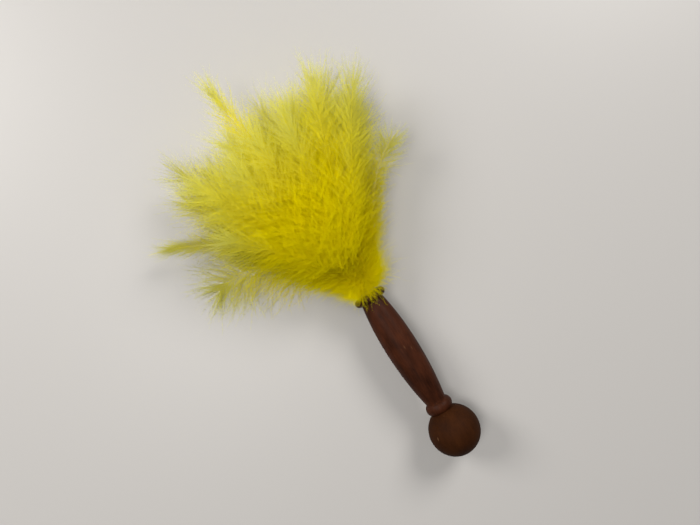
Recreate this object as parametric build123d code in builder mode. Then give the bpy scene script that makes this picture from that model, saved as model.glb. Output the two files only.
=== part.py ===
"""Feather duster: a turned wooden handle with a ball knob and a head of soft dyed plumes.

All sizes are in millimetres. The duster lies on its side on the plane Z = 0. The handle's axis
runs along Y: the plumes point to +Y and the ball knob to -Y. The handle holds a blind socket.
The quills of the plumes are bound with thread, stand in the socket and are held there by glue.
Each plume is a plain closed blade here, with the place, length and breadth of the soft plume.
"""

from collections import namedtuple
import math
import os

from build123d import *

# Where the duster lies
BALL_RADIUS = 15.0
AXIS_X = 14.2  # the head leans to -X, so the handle's axis is off the middle of the width
AXIS_Z = BALL_RADIUS  # the ball rests on Z = 0
MOUTH_Y = -21.0  # open end of the socket

# Turned handle: distances are measured from the socket's mouth towards the ball
COLLAR_RADIUS = 9.75
COLLAR_FACE_RADIUS = 7.6
COLLAR_LENGTH = 4.7
NECK_RADIUS = 6.9
NECK_AT = 5.6
GRIP_OUTLINE = ((8.55, 17.0), (9.5, 38.0), (8.45, 57.4))  # radius, distance
WAIST_RADIUS = 6.2
WAIST_AT = 72.6
BEAD_RADIUS = 8.15
BEAD_START = 73.3
SEAT_RADIUS = 6.6
TENON_RADIUS = 3.95
TENON_LENGTH = 12.0
BALL_AT = 93.4

# Joints between the pieces
GLUE_GAP = 0.05
DRILL_SLOPE = math.tan(math.radians(31))  # a 118 degree drill point
SOCKET_RADIUS = 5.6
SOCKET_DEPTH = 16.0
SOCKET_CHAMFER = 0.4
GLUE_TOP = 1.5  # the glue stops this far inside the mouth

# Quills, in rows from the lowest to the highest
QUILL_RADIUS = 0.42
QUILL_DEPTH = 13.0
QUILL_PITCH = 1.15
ROW_PITCH = 1.4
ROW_COUNTS = (7, 8, 9, 9, 8, 7)

# Thread that binds the quills
THREAD_RADIUS = 0.35
THREAD_PITCH = 0.63  # less than the thread's diameter, so the turns make one band
THREAD_TURNS = 5
THREAD_START = 0.65  # middle of the first turn, beyond the mouth
BUNDLE_RADIUS = 5.55

# Head of plumes: directions are degrees from +Y towards +X, and reaches are from the mouth
FAN_MIDDLE = -5.0
FAN_HALF = 33.0
STAGGER = 0.22  # odd rows are turned one way and even rows the other, by this share of a gap
STRAIGHT = 4.6  # the quills run straight this far, through the thread
REACH = (
    (-45, 92), (-37, 98), (-31, 120), (-25, 137), (-14, 120), (-6, 134), (20, 133), (29, 136), (33, 122)
)
ROW_HEIGHTS = (0.9, 11.0, 20.5, 30.5, 41.0, 52.0)  # of each row where it has levelled out
LEVEL_AT = (48.0, 70.0, 90.0, 105.0, 112.0, 116.0)  # distance at which each row levels out
EDGE_AT = 41.0  # degrees off the fan's middle where its height has dropped most
EDGE_DROP = 0.52  # share of its height that the fan loses there
SHORTEST = 0.78  # the shortest plumes as a share of the reach
GOLDEN = 0.618  # steps of this share spread the lengths without a pattern
ROW_STEPS = 7
PLACE_STEPS = 3

# One plume is a slim quill that widens into a flat blade
BEND_SHARE = 0.38  # how far along a plume its curve is pulled
BEND_TURN = 0.55  # share of the direction that the quill has at that point
BLADE_BREADTH = 6.5
BLADE_THICKNESS = 0.8
LEAST_BREADTH = 0.42
BLADE_SHAPE = (  # share along the plume, share of the full breadth
    (0.0, 0.0), (0.1, 0.3), (0.22, 0.59), (0.36, 0.85), (0.52, 1.0), (0.68, 0.9), (0.84, 0.54), (1.0, 0.0)
)
ROOM_SHARE = 0.7  # of the half gap to the next plume that a blade may take
ROOM_STEP = 0.05  # the gap is measured to points this share apart along the next plume
ROOM_STEPS = range(-6, 7)
AHEAD_STEP = 0.02  # share along a plume over which its heading is measured
ASIDE_STEP = 2.0  # distance over which the slope across a plume is measured

# Plumes that leave the fan, by row and place in the row
Course = namedtuple("Course", "direction reach level bend turn")
STRAYS = {
    (0, 0): Course(-61.0, 95.0, 0.9, 0.78, 0.58),
    (2, 0): Course(-47.5, 128.0, 17.0, 0.60, 0.55),
    (2, 1): Course(-31.5, 127.0, None, 0.40, 0.70),
    (3, 1): Course(-25.0, 136.0, None, 0.40, 0.70),
    (3, 8): Course(44.0, 95.0, 24.0, 0.82, 0.70),
    (4, 4): Course(-5.4, 151.0, 44.5, 0.40, 0.70),
}

handle_plane = Plane(origin=(AXIS_X, MOUTH_Y, AXIS_Z), x_dir=(1, 0, 0), z_dir=(0, 0, 1))
handle_axis = Axis((AXIS_X, MOUTH_Y, AXIS_Z), (0, 1, 0))
mouth_plane = Plane(origin=(AXIS_X, MOUTH_Y, AXIS_Z), x_dir=(1, 0, 0), z_dir=(0, 1, 0))
os.makedirs("parts", exist_ok=True)


def write_part(solid, name):
    solid.label = name
    export_step(solid, f"parts/{name}.step")


# Handle: collar, swelling grip, bead and tenon, with the socket for the quills
ball_flat = math.sqrt(BALL_RADIUS**2 - SEAT_RADIUS**2)
seat_at = BALL_AT - ball_flat
collar_middle = COLLAR_LENGTH / 2
bead_middle = (BEAD_START + seat_at) / 2

with BuildPart() as handle:
    with BuildSketch(handle_plane):
        with BuildLine():
            ThreePointArc(
                (COLLAR_FACE_RADIUS, 0), (COLLAR_RADIUS, -collar_middle), (NECK_RADIUS, -COLLAR_LENGTH)
            )
            Line((NECK_RADIUS, -COLLAR_LENGTH), (NECK_RADIUS, -NECK_AT))
            Spline(
                (NECK_RADIUS, -NECK_AT),
                *[(radius, -distance) for radius, distance in GRIP_OUTLINE],
                (WAIST_RADIUS, -WAIST_AT),
            )
            Line((WAIST_RADIUS, -WAIST_AT), (WAIST_RADIUS, -BEAD_START))
            ThreePointArc(
                (WAIST_RADIUS, -BEAD_START), (BEAD_RADIUS, -bead_middle), (SEAT_RADIUS, -seat_at)
            )
            Polyline(
                (SEAT_RADIUS, -seat_at),
                (TENON_RADIUS, -seat_at),
                (TENON_RADIUS, -seat_at - TENON_LENGTH),
                (0, -seat_at - TENON_LENGTH),
                (0, -SOCKET_DEPTH - SOCKET_RADIUS * DRILL_SLOPE),
                (SOCKET_RADIUS, -SOCKET_DEPTH),
                (SOCKET_RADIUS, -SOCKET_CHAMFER),
                (SOCKET_RADIUS + SOCKET_CHAMFER, 0),
                (COLLAR_FACE_RADIUS, 0),
            )
        make_face()
    revolve(axis=handle_axis)
write_part(handle.part, "handle")


# Ball knob: drilled for the tenon and faced flat where it meets the bead
bore_radius = TENON_RADIUS + GLUE_GAP
bore_end = seat_at + TENON_LENGTH + 1.0

with BuildPart() as ball_knob:
    with BuildSketch(handle_plane):
        with BuildLine():
            ThreePointArc(
                (SEAT_RADIUS, -seat_at), (BALL_RADIUS, -BALL_AT), (0, -BALL_AT - BALL_RADIUS)
            )
            Polyline(
                (0, -BALL_AT - BALL_RADIUS),
                (0, -bore_end - bore_radius * DRILL_SLOPE),
                (bore_radius, -bore_end),
                (bore_radius, -seat_at),
                (SEAT_RADIUS, -seat_at),
            )
        make_face()
    revolve(axis=handle_axis)
write_part(ball_knob.part, "ball_knob")


def quill_place(row, place):
    """Where a quill stands in the socket, across and up from the handle's axis."""
    count = ROW_COUNTS[row]
    across = (place - (count - 1) / 2) * QUILL_PITCH
    up = (row - (len(ROW_COUNTS) - 1) / 2) * ROW_PITCH
    return across, up


quill_places = [
    quill_place(row, place) for row, count in enumerate(ROW_COUNTS) for place in range(count)
]

# Glue in the socket, with a hole for each quill
glue_radius = SOCKET_RADIUS - GLUE_GAP
hole_radius = QUILL_RADIUS * math.hypot(0.5, 1) + GLUE_GAP  # round the quill's corners

with BuildPart() as socket_glue:
    with BuildSketch(mouth_plane.offset(-SOCKET_DEPTH)):
        Circle(glue_radius)
    extrude(amount=SOCKET_DEPTH - GLUE_TOP)
    with BuildSketch(mouth_plane.offset(-QUILL_DEPTH - GLUE_GAP)):
        with Locations(*[(across, -up) for across, up in quill_places]):
            Circle(hole_radius)
    extrude(amount=QUILL_DEPTH, mode=Mode.SUBTRACT)
write_part(socket_glue.part, "socket_glue")


# Thread wound round the quills where they leave the socket, as one band of rounded turns
with BuildPart() as binding_thread:
    with BuildSketch(handle_plane):
        for turn in range(THREAD_TURNS):
            with Locations((BUNDLE_RADIUS + THREAD_RADIUS, THREAD_START + THREAD_PITCH * turn)):
                Circle(THREAD_RADIUS)
    revolve(axis=handle_axis)
write_part(binding_thread.part, "binding_thread")


def between(table, at):
    """The value at a place in a table of (place, value) pairs, on straight lines."""
    if at <= table[0][0]:
        return table[0][1]
    for (low, first), (high, last) in zip(table, table[1:]):
        if at <= high:
            return first + (last - first) * (at - low) / (high - low)
    return table[-1][1]


def course_of(row, place):
    """The direction, reach, level and bend of one plume."""
    if (row, place) in STRAYS:
        return STRAYS[row, place]
    count = ROW_COUNTS[row]
    side = 2 * place / (count - 1) - 1
    stagger = (STAGGER if row % 2 else -STAGGER) / count
    direction = FAN_MIDDLE + FAN_HALF * (side + stagger)
    uneven = GOLDEN * (ROW_STEPS * row + PLACE_STEPS * place) % 1
    reach = between(REACH, direction) * (SHORTEST + (1 - SHORTEST) * uneven)
    return Course(direction, reach, None, BEND_SHARE, BEND_TURN)


def height_at(row, x, y, level):
    """Height above Z = 0 of the surface that a row of plumes lies in, at a place from the mouth."""
    start = AXIS_Z + quill_place(row, 0)[1]
    if level is None:
        direction = math.degrees(math.atan2(x, y))
        off_middle = min(1.0, abs(direction - FAN_MIDDLE) / EDGE_AT)
        lowest = ROW_HEIGHTS[0]
        level = lowest + (ROW_HEIGHTS[row] - lowest) * (1 - EDGE_DROP * off_middle**2)
    share = (math.hypot(x, y) - STRAIGHT) / (LEVEL_AT[row] - STRAIGHT)
    share = max(0.0, min(1.0, share))
    return start + (level - start) * share * (2 - share)


def plan_point(row, place, share):
    """Place in plan, from the mouth's middle, at a share of the way along a plume's curve."""
    course = course_of(row, place)
    across = quill_place(row, place)[0]
    aim = math.radians(course.direction)
    pull = math.radians(course.direction * course.turn)
    bend = course.bend * course.reach
    start = (across, STRAIGHT)
    middle = (across + bend * math.sin(pull), STRAIGHT + bend * math.cos(pull))
    tip = (course.reach * math.sin(aim), course.reach * math.cos(aim))
    weights = ((1 - share) ** 2, 2 * share * (1 - share), share**2)
    x, y = (sum(weight * at[i] for weight, at in zip(weights, (start, middle, tip))) for i in range(2))
    return x, y


def centre_point(row, place, share):
    """Point on a plume's centre line."""
    x, y = plan_point(row, place, share)
    return Vector(AXIS_X + x, MOUTH_Y + y, height_at(row, x, y, course_of(row, place).level))


def room_beside(row, place, share):
    """Half the distance to the nearest plume of the same row, at about the same share."""
    here = centre_point(row, place, share)
    gaps = []
    for other in (place - 1, place + 1):
        if 0 <= other < ROW_COUNTS[row]:
            for step in ROOM_STEPS:
                there = centre_point(row, other, min(1.0, max(0.0, share + ROOM_STEP * step)))
                gaps.append((there - here).length)
    return min(gaps) / 2


def section_plane(row, place, share):
    """Plane square to a plume's centre line, with its x along the surface that the row lies in."""
    here = centre_point(row, place, share)
    before = centre_point(row, place, max(0.0, share - AHEAD_STEP))
    after = centre_point(row, place, min(1.0, share + AHEAD_STEP))
    heading = (after - before).normalized() if share > 0 else Vector(0, 1, 0)
    aside = Vector(heading.Y, -heading.X, 0).normalized() * ASIDE_STEP
    level = course_of(row, place).level
    x, y = plan_point(row, place, share)
    rise = height_at(row, x + aside.X, y + aside.Y, level) - height_at(row, x, y, level)
    aside = aside + Vector(0, 0, rise)
    across = (aside - heading * aside.dot(heading)).normalized()
    return Plane(origin=here, x_dir=across, z_dir=heading)


def blade_section(breadth, thickness):
    """A flat six-sided section, drawn in the sketch that is open."""
    Polygon(
        (-breadth, 0),
        (-breadth / 2, thickness),
        (breadth / 2, thickness),
        (breadth, 0),
        (breadth / 2, -thickness),
        (-breadth / 2, -thickness),
        align=None,
    )


def make_plume(row, place):
    """One plume: a slim quill that widens into a flat blade and narrows again to its tip."""
    across, up = quill_place(row, place)
    root = mouth_plane.offset(-QUILL_DEPTH).origin + Vector(across, 0, up)
    bend_start = root + Vector(0, QUILL_DEPTH + STRAIGHT / 2, 0)
    with BuildPart() as plume:
        for start in (root, bend_start):
            with BuildSketch(Plane(origin=start, x_dir=(1, 0, 0), z_dir=(0, 1, 0))):
                blade_section(QUILL_RADIUS, QUILL_RADIUS)
        for share, swell in BLADE_SHAPE:
            room = ROOM_SHARE * room_beside(row, place, share)
            breadth = LEAST_BREADTH + (BLADE_BREADTH - LEAST_BREADTH) * swell
            breadth = max(LEAST_BREADTH, min(breadth, room))
            thickness = QUILL_RADIUS + (BLADE_THICKNESS - QUILL_RADIUS) * swell
            with BuildSketch(section_plane(row, place, share)):
                blade_section(breadth, thickness)
        loft(ruled=True)
    return plume


number = 0
for row, count in enumerate(ROW_COUNTS):
    for place in range(count):
        number += 1
        write_part(make_plume(row, place).part, f"plume_{number:02d}")
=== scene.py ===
"""The looks of the feather duster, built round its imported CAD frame. Lengths are in metres."""

import math

import bpy
import numpy as np
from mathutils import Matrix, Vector


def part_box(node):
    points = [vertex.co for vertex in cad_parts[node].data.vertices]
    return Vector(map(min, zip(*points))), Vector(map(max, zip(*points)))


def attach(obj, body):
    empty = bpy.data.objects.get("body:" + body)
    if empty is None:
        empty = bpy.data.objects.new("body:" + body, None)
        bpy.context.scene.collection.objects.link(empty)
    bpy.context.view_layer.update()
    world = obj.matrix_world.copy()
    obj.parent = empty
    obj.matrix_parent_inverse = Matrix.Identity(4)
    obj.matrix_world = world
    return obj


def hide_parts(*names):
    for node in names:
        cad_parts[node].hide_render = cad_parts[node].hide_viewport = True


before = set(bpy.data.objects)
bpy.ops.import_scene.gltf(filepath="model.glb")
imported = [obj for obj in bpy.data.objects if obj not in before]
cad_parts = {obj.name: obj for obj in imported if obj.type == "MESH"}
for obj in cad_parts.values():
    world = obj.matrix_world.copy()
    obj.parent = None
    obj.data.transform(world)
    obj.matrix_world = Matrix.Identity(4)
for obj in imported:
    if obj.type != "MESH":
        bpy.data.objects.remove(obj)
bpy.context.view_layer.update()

MM = 0.001
SEED = 20

# Places that the frame gives
handle_low, handle_high = (np.array(corner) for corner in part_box("handle"))
axis_x, _, axis_z = (handle_low + handle_high) / 2
mouth = np.array([axis_x, handle_high[1], axis_z])
plume_names = sorted(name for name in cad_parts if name.startswith("plume_"))
head_low = np.min([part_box(name)[0] for name in plume_names], axis=0)
head_high = np.max([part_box(name)[1] for name in plume_names], axis=0)


# ------------------------------------------------------------------ camera, light and floor
CAMERA_HEIGHT = 0.363
CAMERA_LENS = 30.9
CAMERA_FROM_MOUTH = (1.1 * MM, 20.7 * MM)
CAMERA_ROLL = -32.55

WORLD_COLOUR = (0.96, 0.98, 1.0)
WORLD_STRENGTH = 0.17
LAMP_COLOUR = (1.0, 0.985, 0.955)
LAMP_TARGET = (0, 0, 0)
LAMPS = (  # name, place, diameter, power
    ("left", (-0.62, 0.86, 0.80), 0.6, 10.5),
    ("right", (1.00, 0.45, 0.90), 0.6, 13.0),
    ("overhead", (-0.30, 0.10, 1.20), 0.45, 5.0),
)
FLOOR_HALF = 3.0


def add_camera():
    data = bpy.data.cameras.new("camera")
    data.lens = CAMERA_LENS
    camera = bpy.data.objects.new("camera", data)
    camera.location = (mouth[0] + CAMERA_FROM_MOUTH[0], mouth[1] + CAMERA_FROM_MOUTH[1], CAMERA_HEIGHT)
    camera.rotation_euler = (0, 0, math.radians(CAMERA_ROLL))
    bpy.context.scene.collection.objects.link(camera)
    bpy.context.scene.camera = camera


def add_lamp(name, place, diameter, power):
    data = bpy.data.lights.new(name, "AREA")
    data.shape = "DISK"
    data.size = diameter
    data.energy = power
    data.color = LAMP_COLOUR
    lamp = bpy.data.objects.new(name, data)
    lamp.location = place
    lamp.rotation_euler = (Vector(LAMP_TARGET) - Vector(place)).to_track_quat("-Z", "Y").to_euler()
    bpy.context.scene.collection.objects.link(lamp)


def add_light():
    """Two soft lamps to the sides, one overhead and a pale surrounding, as in a plain bright room."""
    bpy.context.scene.view_settings.view_transform = "Standard"
    world = bpy.data.worlds.new("studio")
    world.use_nodes = True
    sky = world.node_tree.nodes["Background"]
    sky.inputs["Color"].default_value = (*WORLD_COLOUR, 1)
    sky.inputs["Strength"].default_value = WORLD_STRENGTH
    bpy.context.scene.world = world
    for lamp in LAMPS:
        add_lamp(*lamp)


def add_floor():
    mesh = bpy.data.meshes.new("floor")
    far = FLOOR_HALF
    mesh.from_pydata([(-far, -far, 0), (far, -far, 0), (far, far, 0), (-far, far, 0)], [], [(0, 1, 2, 3)])
    mesh.materials.append(plain_material("table", (0.50, 0.482, 0.466), 0.40, 0.35))
    floor = bpy.data.objects.new("floor", mesh)
    bpy.context.scene.collection.objects.link(floor)


# ------------------------------------------------------------------ materials
MIX_SOCKETS = {"RGBA": (6, 7, 2), "FLOAT": (2, 3, 0)}  # numbers of both sources' inputs and of the output


def new_material(name):
    material = bpy.data.materials.new(name)
    material.use_nodes = True
    tree = material.node_tree
    return material, tree, tree.nodes["Principled BSDF"]


def plain_material(name, colour, roughness, gloss):
    material, _, shader = new_material(name)
    shader.inputs["Base Color"].default_value = (*colour, 1)
    shader.inputs["Roughness"].default_value = roughness
    shader.inputs["Specular IOR Level"].default_value = gloss
    return material


def add_node(tree, kind, **settings):
    node = tree.nodes.new(kind)
    for key, value in settings.items():
        if key in node.inputs:
            node.inputs[key].default_value = value
        else:
            setattr(node, key, value)
    return node


def set_input(tree, socket, source):
    """Link a socket to the source, or give it the source's plain value."""
    if isinstance(source, bpy.types.NodeSocket):
        tree.links.new(source, socket)
    else:
        socket.default_value = source


def own_places(tree, **mapping):
    """Places in the object's own frame, stretched or turned by a mapping."""
    places = tree.nodes.new("ShaderNodeTexCoord").outputs["Object"]
    if not mapping:
        return places
    node = add_node(tree, "ShaderNodeMapping", **mapping)
    tree.links.new(places, node.inputs["Vector"])
    return node.outputs["Vector"]


def pattern(tree, kind, places, output, **settings):
    node = add_node(tree, kind, **settings)
    tree.links.new(places, node.inputs["Vector"])
    return node.outputs[output]


def colour_ramp(tree, source, *stops):
    node = tree.nodes.new("ShaderNodeValToRGB")
    elements = node.color_ramp.elements
    while len(elements) < len(stops):
        elements.new(1.0)
    for element, (place, colour) in zip(elements, stops):
        element.position = place
        element.color = (*colour, 1)
    tree.links.new(source, node.inputs["Fac"])
    return node.outputs["Color"]


def mixed(tree, kind, share, first, second, **settings):
    node = add_node(tree, "ShaderNodeMix", data_type=kind, **settings)
    first_number, second_number, output = MIX_SOCKETS[kind]
    set_input(tree, node.inputs[0], share)
    set_input(tree, node.inputs[first_number], first)
    set_input(tree, node.inputs[second_number], second)
    return node.outputs[output]


def add_bump(tree, shader, height, strength, distance):
    bump = add_node(tree, "ShaderNodeBump", Strength=strength, Distance=distance)
    tree.links.new(height, bump.inputs["Height"])
    tree.links.new(bump.outputs["Normal"], shader.inputs["Normal"])


def plume_material():
    """Dyed down: deep yellow near the quill, paler to the ends of the barbs, and lit through."""
    lit_through = 0.5
    material, tree, shader = new_material("dyed_down")
    split = tree.nodes.new("ShaderNodeSeparateXYZ")
    tree.links.new(add_node(tree, "ShaderNodeUVMap", uv_map=BARB_MAP).outputs["UV"], split.inputs[0])
    along_barb = colour_ramp(
        tree,
        split.outputs["X"],
        (0.0, (0.98, 0.89, 0.16)),
        (0.6, (0.98, 0.905, 0.24)),
        (1.0, (0.97, 0.915, 0.36)),
    )
    along_plume = colour_ramp(
        tree,
        split.outputs["Y"],
        (0.0, (1.0, 0.97, 0.0)),
        (0.62, (1.0, 0.97, 0.0)),
        (0.84, (0.96, 0.98, 0.4)),
        (1.0, (0.88, 0.94, 1.0)),
    )
    clouds = pattern(tree, "ShaderNodeTexNoise", own_places(tree), "Fac", Scale=60.0, Detail=3.0)
    patches = colour_ramp(tree, clouds, (0.35, (0.95, 0.94, 0.9)), (0.7, (1, 1, 1)))
    colour = mixed(tree, "RGBA", 1.0, along_barb, along_plume, blend_type="MULTIPLY")
    colour = mixed(tree, "RGBA", 1.0, colour, patches, blend_type="MULTIPLY")
    tree.links.new(colour, shader.inputs["Base Color"])
    shader.inputs["Roughness"].default_value = 0.85
    shader.inputs["Specular IOR Level"].default_value = 0.03
    through = tree.nodes.new("ShaderNodeBsdfTranslucent")
    tree.links.new(colour, through.inputs["Color"])
    both = tree.nodes.new("ShaderNodeMixShader")
    both.inputs[0].default_value = lit_through
    tree.links.new(shader.outputs[0], both.inputs[1])
    tree.links.new(through.outputs[0], both.inputs[2])
    tree.links.new(both.outputs[0], tree.nodes["Material Output"].inputs["Surface"])
    return material


def wood_material(name, dark, light, roughness, gloss, scuffs):
    """Stained hardwood turned along Y: fine long grain, a mottled stain, and small pale scuffs."""
    grain_share = 0.35
    scuff_colour = (0.22, 0.11, 0.055, 1)
    material, tree, shader = new_material(name)
    long_places = own_places(tree, Scale=(1.0, 0.12, 1.0))
    grain = pattern(
        tree, "ShaderNodeTexNoise", long_places, "Fac", Scale=1100.0, Detail=5.0, Roughness=0.65
    )
    mottle_places = own_places(tree, Scale=(1.0, 0.45, 1.0))
    stain = pattern(
        tree, "ShaderNodeTexNoise", mottle_places, "Fac", Scale=120.0, Detail=4.0, Roughness=0.55
    )
    depth = mixed(tree, "FLOAT", grain_share, stain, grain)
    wood = colour_ramp(tree, depth, (0.34, dark), (0.66, light))
    slanting_places = own_places(tree, Scale=(1.0, 0.35, 1.9), Rotation=(0.4, 0.7, 0.9))
    marks = pattern(
        tree, "ShaderNodeTexVoronoi", slanting_places, "Distance", Scale=150.0, Randomness=1.0
    )
    worn = colour_ramp(tree, marks, (0.03, (scuffs,) * 3), (0.09, (0, 0, 0)))
    tree.links.new(mixed(tree, "RGBA", worn, wood, scuff_colour), shader.inputs["Base Color"])
    rough = add_node(tree, "ShaderNodeMapRange")
    rough.inputs["To Min"].default_value = roughness - 0.08
    rough.inputs["To Max"].default_value = roughness + 0.10
    tree.links.new(stain, rough.inputs["Value"])
    tree.links.new(rough.outputs[0], shader.inputs["Roughness"])
    add_bump(tree, shader, grain, 0.3, 0.06 * MM)
    shader.inputs["Specular IOR Level"].default_value = gloss
    return material


def glue_material():
    """Set hot glue: yellowish, waxy, with a few clouds."""
    material, tree, shader = new_material("set_glue")
    clouds = pattern(tree, "ShaderNodeTexNoise", own_places(tree), "Fac", Scale=300.0, Detail=3.0)
    colour = colour_ramp(tree, clouds, (0.35, (0.50, 0.40, 0.16)), (0.7, (0.66, 0.56, 0.28)))
    tree.links.new(colour, shader.inputs["Base Color"])
    shader.inputs["Roughness"].default_value = 0.35
    return material


def thread_material():
    """Waxed cotton: the two plies of the thread show as slanting ridges, with painted shade in the grooves
    between them.
    """
    material, tree, shader = new_material("waxed_thread")
    places = own_places(tree)
    plies = pattern(
        tree, "ShaderNodeTexWave", places, "Fac", Scale=700.0, Distortion=1.5, bands_direction="DIAGONAL"
    )
    # the colour is darker where the bump is low: painted shade in the grooves between the plies
    colour = colour_ramp(tree, plies, (0.0, (0.42, 0.36, 0.20)), (1.0, (0.62, 0.56, 0.36)))
    tree.links.new(colour, shader.inputs["Base Color"])
    add_bump(tree, shader, plies, 0.5, 0.1 * MM)
    shader.inputs["Roughness"].default_value = 0.6
    return material


# ------------------------------------------------------------------ plumes
# A table of two rows gives a value by its place: the places are in the first row, the values in the second.
BARB_MAP = "OFBake"
LINE_DEGREE = 5
LINE_POINTS = 60
VANE = (0.45, 0.75)  # the shares of a CAD plume between which its blade shows which way is up

QUILL_SIDES = 6
QUILL_RADIUS = ((0, 0.12, 0.35, 1), (0.42, 0.378, 0.105, 0.06))  # mm, by share of the plume

# Barbs
BARBS_A_SIDE = 360
BARB_STATIONS = 11
FIRST_BARB = 0.02  # share of the plume at which the barbs begin
LAST_BARB = 0.9  # share of the plume at which the quill's barbs end; they reach on to its tip
CROWDING = 0.85  # under 1, the barbs stand closer towards the tip
BARB_LEAN = ((0, 0.1, 0.35, 0.7, 0.9), (80, 60, 50, 40, 20))  # degrees from the quill, by share of the plume
BARB_REACH = ((0, 0.1, 0.35, 0.7, 0.9), (9, 15, 24, 24, 18))  # mm, by share of the plume
USUAL_PLUME = 90 * MM  # shorter plumes have shorter barbs
LEAN_RANGE = (-28, 28)
REACH_RANGE = (0.7, 1.15)
PAST_TIP = (-2.0, 5.0)  # mm that barbs may end before or past the plume's tip
LEAST_REACH = 5 * MM
MOST_LEAN = 1.2  # radians, where the room up to the tip is worked out
SHORTENED = 0.45  # of barbs on the part of a plume that PLUME_SHAPES keeps slim
LIFT_RANGE = (-44, 44)  # degrees out of the plume's plane
CURL_RANGE = (-0.5, 0.9)  # bend towards the plume's tip, against the barb's length
DROP_RANGE = (0.0, 0.5)  # and down
STRAY_ALONE = 0.24
STRAY_TOGETHER = 0.14
BARB_BEND = 0.5
SWAY = 0.045
SWAY_RATE = (4, 10)
CLUMP_SIZE = 5
OWN_SHARE = 0.7  # of a barb's own draw, against the one that it shares with its clump
OWN_LIFT_SHARE = 0.75
CLUMP_PULL = 0.1
PULL_POWER = 1.5
LOWEST = 0.5 * MM
PLUME_SHAPES = {  # reach and lean of the barbs against the usual, and the share of the plume that is slim
    "plume_01": (1.15, 1.4, 0.35),
    "plume_16": (0.62, 0.6, 0.0),
    "plume_33": (0.68, 1.6, 0.72),
    "plume_38": (0.80, 0.6, 0.0),
}
USUAL_SHAPE = (1.0, 1.0, 0.0)

# Down at the foot of the quills, which curls back over the collar. To the right it stands out as a tuft.
BASAL_BARBS = 90
RIM_OF_BUNDLE = 3.4 * MM  # quills further out than this have basal down
SIDE_POWER = 3
TUFT_POWER = 8
FEWER_BESIDE = 0.5
MORE_IN_TUFT = 0.2
BASAL_ROOTS = (1.5, 9.0)  # mm beyond the mouth
TUFT_BEYOND = 4
BASAL_SPREAD = 0.42
BASAL_AHEAD = 0.35
AHEAD_BESIDE = 0.6
BASAL_REACH = 6.5
REACH_AT_TOP = 2.5
REACH_IN_TUFT = 11
BASAL_REACH_RANGE = (0.6, 1.2)
BACK_RANGE = (0.5, 1.3)
BACK_AT_TOP = 0.2
BASAL_STRAY = 0.3
BASAL_BEND = 0.6
BASAL_CURL = 0.10
BASAL_CURL_RATE = (5, 12)
BASAL_CURL_START = (0, 6)
COLLAR_CLEAR = ((-10, -7, -4, 0, 1.8), (8.0, 8.6, 10.2, 9.4, 0.0))  # mm from the axis, by mm from the mouth

# Ribbons and barbules
BARBULES = 4  # at each station
FIRST_BARBULE = 1  # the station from which a barb has barbules
RIBBON_WIDTH = ((0, 0.5, 1), (0.13, 0.11, 0.05))  # mm, by share of the barb
BARBULE_RANGE = (1.2, 2.8)  # mm
BARBULE_LENGTH = ((0, 0.2, 0.8, 1), (0.7, 1, 0.8, 0.6))  # against the drawn length, by share of the barb
BARBULE_SLIDE = (0.6, 1.6)
LOWEST_BARBULE = 0.1 * MM
OVER_THE_BOX = 9 * MM  # no barb ends further than this outside the plumes' box
EGG = (1.0, 1.6, 1.0)  # size of the egg that the down is lit as, against the plumes' box
OWN_NORMAL = 0.2  # how much a ribbon's own facing counts beside that of the whole soft mass
INNER_FAN = (-38, 24)  # degrees: plumes that point further out took less dye
OUTER_PALENESS = 0.45
RIBBON_MARGIN = 0.3  # of a barb's row on the map, to each side of its middle
BARBULE_MARGIN = 0.45


def unit(vectors):
    return vectors / np.maximum(np.linalg.norm(vectors, axis=-1, keepdims=True), 1e-12)


def curved(heading, bend, amount):
    """Paths that start along a heading and bend away from it, at each station of barbs of length 1."""
    steps = np.linspace(0, 1, BARB_STATIONS)[None, :, None]
    return heading[:, None] * steps + bend[:, None] * steps**2 * amount


def plume_line(name):
    """Evenly spaced points on a CAD plume's centre line from the mouth, its upward side and its root."""
    corners = np.array([vertex.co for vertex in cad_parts[name].data.vertices])
    root = corners[corners[:, 1] < mouth[1]].mean(axis=0)
    start = np.array([root[0], mouth[1], root[2]])
    beyond = corners[corners[:, 1] > mouth[1]]
    far = np.linalg.norm(beyond - start, axis=1)
    share = far / far.max()
    powers = np.arange(1, LINE_DEGREE + 1)
    shape, *_ = np.linalg.lstsq(share[:, None] ** powers, beyond - start, rcond=None)
    steps = np.linspace(0, 1, LINE_POINTS)
    line = start + steps[:, None] ** powers @ shape
    lengths = np.concatenate([[0], np.cumsum(np.linalg.norm(np.diff(line, axis=0), axis=1))])
    even = np.linspace(0, lengths[-1], LINE_POINTS)
    line = np.stack([np.interp(even, lengths, line[:, i]) for i in range(3)], axis=1)
    vane = beyond[(share > VANE[0]) & (share < VANE[1])]
    _, _, directions = np.linalg.svd(vane - vane.mean(axis=0), full_matrices=False)
    up = directions[2] * (1 if directions[2][2] > 0 else -1)
    return line, up, lengths[-1], root


def frames_along(line, up):
    ahead = unit(np.gradient(line, axis=0))
    across = unit(np.cross(ahead, up))
    return ahead, across, np.cross(across, ahead)


def quill_tube(line, across, over):
    """A tapering tube round the plume's centre line."""
    count = len(line)
    radius = np.interp(np.linspace(0, 1, count), *QUILL_RADIUS) * MM
    turns = np.arange(QUILL_SIDES) * 2 * math.pi / QUILL_SIDES
    ring = across[:, None] * np.cos(turns)[None, :, None] + over[:, None] * np.sin(turns)[None, :, None]
    points = (line[:, None] + ring * radius[:, None, None]).reshape(-1, 3)
    first = np.arange(count - 1)[:, None] * QUILL_SIDES
    side = np.arange(QUILL_SIDES)[None, :]
    after = (side + 1) % QUILL_SIDES
    corners = [first + side, first + after, first + QUILL_SIDES + after, first + QUILL_SIDES + side]
    return points, np.stack(corners, axis=-1).reshape(-1, 4)


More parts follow.
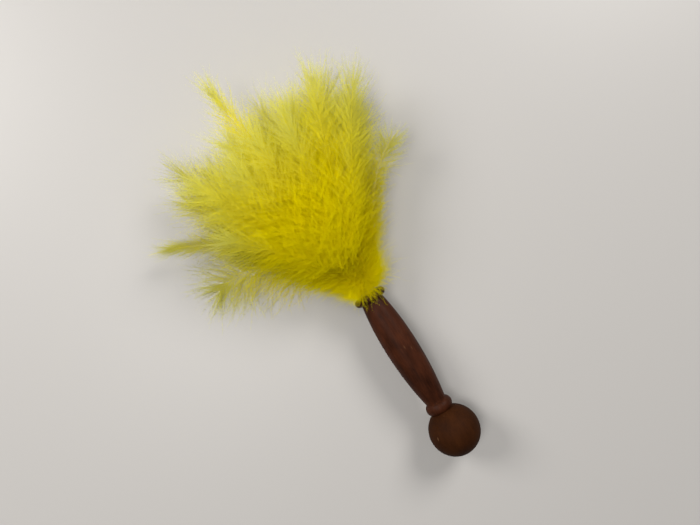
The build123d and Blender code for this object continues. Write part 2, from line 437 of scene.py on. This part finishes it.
def barb_curves(line, ahead, across, over, length, shape, dice):
    """Points of every barb of one plume, as an array of barbs by stations by xyz."""
    reach_share, lean_share, slim = shape
    count = 2 * BARBS_A_SIDE
    side = np.where(np.arange(count) % 2 == 0, 1.0, -1.0)
    order = np.arange(count) // 2
    share = (order + dice.uniform(0, 1, count)) / BARBS_A_SIDE
    start = FIRST_BARB + (LAST_BARB - FIRST_BARB) * share**CROWDING
    at = start * (len(line) - 1)
    low = np.floor(at).astype(int).clip(0, len(line) - 2)
    part = (at - low)[:, None]

    def on_line(values):
        return values[low] * (1 - part) + values[low + 1] * part

    root, forward, sideways, upward = (on_line(values) for values in (line, ahead, across, over))
    clump = order // CLUMP_SIZE * 2 + (side > 0)
    clumps = int(clump.max()) + 1

    def by_clump(value_range, own=OWN_SHARE):
        shared = dice.uniform(*value_range, clumps)[clump]
        alone = dice.uniform(*value_range, count)
        return shared * (1 - own) + alone * own

    lean = np.radians(np.interp(start, *BARB_LEAN) + by_clump(LEAN_RANGE)) * lean_share
    reach = np.interp(start, *BARB_REACH) * MM
    reach = reach * min(1.0, length / USUAL_PLUME) * by_clump(REACH_RANGE) * reach_share
    reach = reach * np.where(start < slim, SHORTENED, 1.0)
    to_tip = (1.0 - start) * length / np.cos(lean.clip(0, MOST_LEAN)) + dice.uniform(*PAST_TIP, count) * MM
    reach = np.minimum(reach, np.maximum(to_tip, LEAST_REACH))
    lift = np.radians(by_clump(LIFT_RANGE, OWN_LIFT_SHARE))
    out = unit(sideways * (side * np.cos(lift))[:, None] + upward * np.sin(lift)[:, None])
    heading = unit(forward * np.cos(lean)[:, None] + out * np.sin(lean)[:, None])
    curl = by_clump(CURL_RANGE)[:, None]
    drop = by_clump(DROP_RANGE)[:, None]
    stray = dice.normal(size=(count, 3)) * STRAY_ALONE
    stray = stray + dice.normal(size=(clumps, 3))[clump] * STRAY_TOGETHER
    bend = forward * curl + np.array([0, 0, -1.0]) * drop + stray
    steps = np.linspace(0, 1, BARB_STATIONS)
    sway_side = unit(np.cross(heading, dice.normal(size=(count, 3))))
    phase = dice.uniform(0, 2 * math.pi, (count, 1))
    rate = dice.uniform(*SWAY_RATE, (count, 1))
    sway = SWAY * steps * np.sin(rate * steps + phase)
    paths = curved(heading, bend, BARB_BEND) + sway_side[:, None] * sway[:, :, None]
    paths = root[:, None] + paths * reach[:, None, None]
    leaders = np.zeros((clumps, BARB_STATIONS, 3))
    np.add.at(leaders, clump, paths)
    leaders /= np.bincount(clump, minlength=clumps)[:, None, None]
    pull = (CLUMP_PULL * steps**PULL_POWER)[None, :, None]
    paths = paths * (1 - pull) + leaders[clump] * pull
    paths[:, :, 2] = np.maximum(paths[:, :, 2], LOWEST)
    return paths


def basal_curves(foot, dice):
    """Down that curls out and back from the foot of a quill at the rim of the bundle, over the collar."""
    from_axis = foot - mouth
    outward = unit(np.array([from_axis[0], 0, from_axis[2]]))
    along_axis = np.array([0, 1.0, 0])
    top = max(0.0, outward[2])
    beside = abs(outward[0]) ** SIDE_POWER
    tuft = max(0.0, outward[0]) ** TUFT_POWER
    plain_side = beside * (1 - tuft)
    count = int(BASAL_BARBS * (1 - FEWER_BESIDE * plain_side + MORE_IN_TUFT * tuft))
    at = (dice.uniform(*BASAL_ROOTS, count) + TUFT_BEYOND * tuft) * MM
    root = foot + along_axis * at[:, None]
    spread = dice.normal(size=(count, 3)) * BASAL_SPREAD
    heading = unit(outward + spread + along_axis * (BASAL_AHEAD + AHEAD_BESIDE * plain_side))
    reach = (BASAL_REACH + REACH_AT_TOP * top + REACH_IN_TUFT * tuft) * MM
    reach = reach * dice.uniform(*BASAL_REACH_RANGE, count)
    back = dice.uniform(*BACK_RANGE, count) * (1 + BACK_AT_TOP * top) * (1 - beside)
    bend = -along_axis * back[:, None] + dice.normal(size=(count, 3)) * BASAL_STRAY
    curl_side = unit(np.cross(heading, dice.normal(size=(count, 3))))
    steps = np.linspace(0, 1, BARB_STATIONS)
    turn = dice.uniform(*BASAL_CURL_RATE, (count, 1)) * steps + dice.uniform(*BASAL_CURL_START, (count, 1))
    curl = BASAL_CURL * steps * np.sin(turn)
    paths = curved(heading, bend, BASAL_BEND) + curl_side[:, None] * curl[:, :, None]
    paths = root[:, None] + paths * reach[:, None, None]
    paths[:, :, 2] = np.maximum(paths[:, :, 2], LOWEST)
    off = paths[:, :, [0, 2]] - mouth[[0, 2]]
    away = np.linalg.norm(off, axis=-1, keepdims=True)
    clear = np.interp((paths[:, :, 1] - mouth[1]) / MM, *COLLAR_CLEAR)[..., None] * MM
    paths[:, :, [0, 2]] = mouth[[0, 2]] + off * np.maximum(1, clear / away)
    return paths


def kept_near(points):
    """The points, with those far outside the plumes' box drawn in towards it."""
    over = np.maximum(points - head_high, 0)
    under = np.maximum(head_low - points, 0)
    inside = np.clip(points, head_low, head_high)
    points = inside + OVER_THE_BOX * (np.tanh(over / OVER_THE_BOX) - np.tanh(under / OVER_THE_BOX))
    points[:, 2] = np.maximum(points[:, 2], LOWEST_BARBULE)
    return points


def outward_of_head(points):
    """Outward directions on a flat egg that fills the head."""
    middle = (head_low + head_high) / 2
    half = (head_high - head_low) / 2 * np.array(EGG)
    return unit((points - middle) / half**2 * half.min())


def turned_outward(faces, points, outward):
    """The faces, each wound so that it looks outward."""
    first, second, third = (points[faces[:, i]] for i in range(3))
    facing = np.cross(second - first, third - first)
    inward = (facing * outward[faces[:, 0]]).sum(axis=1) < 0
    faces[inward] = faces[inward, ::-1]
    return faces


def barb_points(paths, dice):
    """Both edges of a thin tapering ribbon along each barb, and its barbules' tips, by barb and station."""
    count, stations, _ = paths.shape
    steps = np.linspace(0, 1, stations)
    ahead = unit(np.gradient(paths, axis=1))
    flat = unit(np.cross(ahead, dice.normal(size=(count, 1, 3))))
    other = np.cross(ahead, flat)
    width = np.interp(steps, *RIBBON_WIDTH)[None, :, None] * MM
    columns = [paths - flat * width / 2, paths + flat * width / 2]
    for _ in range(BARBULES):
        turn = dice.uniform(0, 2 * math.pi, (count, stations, 1))
        length = dice.uniform(*BARBULE_RANGE, (count, stations)) * MM
        length *= np.interp(steps, *BARBULE_LENGTH)[None]
        slide = ahead * dice.uniform(*BARBULE_SLIDE, (count, stations, 1))
        tip = unit(flat * np.cos(turn) + other * np.sin(turn) + slide)
        columns.append(paths + tip * length[..., None])
    return kept_near(np.stack(columns, axis=2).reshape(-1, 3))


def barb_faces(count, points):
    """The ribbons' four-sided faces and the barbules' three-sided ones, wound outward."""
    per_station = 2 + BARBULES
    base = np.arange(count * BARB_STATIONS).reshape(count, BARB_STATIONS) * per_station
    here, after = base[:, :-1].reshape(-1), base[:, 1:].reshape(-1)
    ribbons = np.stack([here, here + 1, after + 1, after], axis=-1)
    edge = base[:, FIRST_BARBULE:].reshape(-1)
    spikes = [np.stack([edge, edge + 1, edge + 2 + which], axis=-1) for which in range(BARBULES)]
    outward = outward_of_head(points)
    ribbons = turned_outward(ribbons, points, outward)
    return ribbons, turned_outward(np.concatenate(spikes), points, outward)


def barb_map(count, paleness):
    """Map places of the barbs' points: along each barb, and across by the barb's order on the plume."""
    shape = (count, BARB_STATIONS, 2 + BARBULES)
    steps = np.linspace(0, 1, BARB_STATIONS)
    row = (np.arange(count) + 0.5) / count
    barbules = np.linspace(-BARBULE_MARGIN, BARBULE_MARGIN, BARBULES)
    offset = np.concatenate([[-RIBBON_MARGIN, RIBBON_MARGIN], barbules]) / count
    along = np.broadcast_to(steps[None, :, None], shape).reshape(-1)
    across = np.broadcast_to(row[:, None, None] + offset[None, None, :], shape).reshape(-1)
    return np.stack([along, paleness + (1 - paleness) * across], axis=-1)


def mesh_from(name, points, faces_by_material, uvs, first_soft):
    """A mesh from arrays of faces, each with its material number, lit softly from point first_soft on."""
    mesh = bpy.data.meshes.new(name)
    sizes = np.concatenate([np.full(len(faces), faces.shape[1]) for faces, _ in faces_by_material])
    corners = np.concatenate([faces.reshape(-1) for faces, _ in faces_by_material])
    numbers = np.concatenate([np.full(len(faces), number) for faces, number in faces_by_material])
    mesh.vertices.add(len(points))
    mesh.vertices.foreach_set("co", points.astype(np.float32).reshape(-1))
    mesh.loops.add(len(corners))
    mesh.loops.foreach_set("vertex_index", corners.astype(np.int32))
    mesh.polygons.add(len(sizes))
    starts = np.concatenate([[0], np.cumsum(sizes)[:-1]])
    mesh.polygons.foreach_set("loop_start", starts.astype(np.int32))
    mesh.polygons.foreach_set("material_index", numbers.astype(np.int32))
    mesh.update(calc_edges=True)
    mesh.shade_smooth()
    normals = np.empty((len(points), 3), dtype=np.float32)
    mesh.vertex_normals.foreach_get("vector", normals.reshape(-1))
    soft = outward_of_head(points[first_soft:])
    normals[first_soft:] = unit(normals[first_soft:] * OWN_NORMAL + soft)
    mesh.normals_split_custom_set_from_vertices(normals.tolist())
    layer = mesh.uv_layers.new(name=BARB_MAP)
    layer.data.foreach_set("uv", uvs[corners].astype(np.float32).reshape(-1))
    return mesh


def add_plume(name, number, materials):
    dice = np.random.default_rng(SEED + number)
    line, up, length, root = plume_line(name)
    whole = np.concatenate([root[None], line])
    _, *sides = frames_along(whole, up)
    tube, quads = quill_tube(whole, *sides)
    shape = PLUME_SHAPES.get(name, USUAL_SHAPE)
    paths = barb_curves(line, *frames_along(line, up), length, shape, dice)
    if np.linalg.norm(line[0] - mouth) > RIM_OF_BUNDLE:
        paths = np.concatenate([basal_curves(line[0], dice), paths])
    tip = line[-1] - mouth
    turn = math.degrees(math.atan2(tip[0], tip[1]))
    paleness = 0.0 if INNER_FAN[0] < turn < INNER_FAN[1] else OUTER_PALENESS
    points = barb_points(paths, dice)
    ribbons, spikes = barb_faces(len(paths), points)
    offset = len(tube)
    mesh = mesh_from(
        f"{name}_down",
        np.concatenate([tube, points]),
        [(quads, 1), (ribbons + offset, 0), (spikes + offset, 0)],
        np.concatenate([np.zeros((offset, 2)), barb_map(len(paths), paleness)]),
        offset,
    )
    for material in materials:
        mesh.materials.append(material)
    piece = bpy.data.objects.new(f"{name}_down", mesh)
    bpy.context.scene.collection.objects.link(piece)
    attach(piece, "root")
    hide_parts(name)


# ------------------------------------------------------------------ the whole
def dress_node(name, material):
    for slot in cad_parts[name].material_slots:
        slot.material = material


add_camera()
add_light()
add_floor()
grip_wood = wood_material(
    "turned_grip",
    dark=(0.018, 0.0044, 0.0015),
    light=(0.066, 0.0170, 0.0060),
    roughness=0.50,
    gloss=0.08,
    scuffs=0.3,
)
ball_wood = wood_material(
    "turned_ball",
    dark=(0.020, 0.0056, 0.0014),
    light=(0.042, 0.0125, 0.0030),
    roughness=0.66,
    gloss=0.05,
    scuffs=0.6,
)
dress_node("handle", grip_wood)
dress_node("ball_knob", ball_wood)
dress_node("socket_glue", glue_material())
dress_node("binding_thread", thread_material())
down = plume_material()
quill = plain_material("quill", (0.94, 0.82, 0.01), 0.7, 0.08)
for number, name in enumerate(plume_names):
    add_plume(name, number, (down, quill))
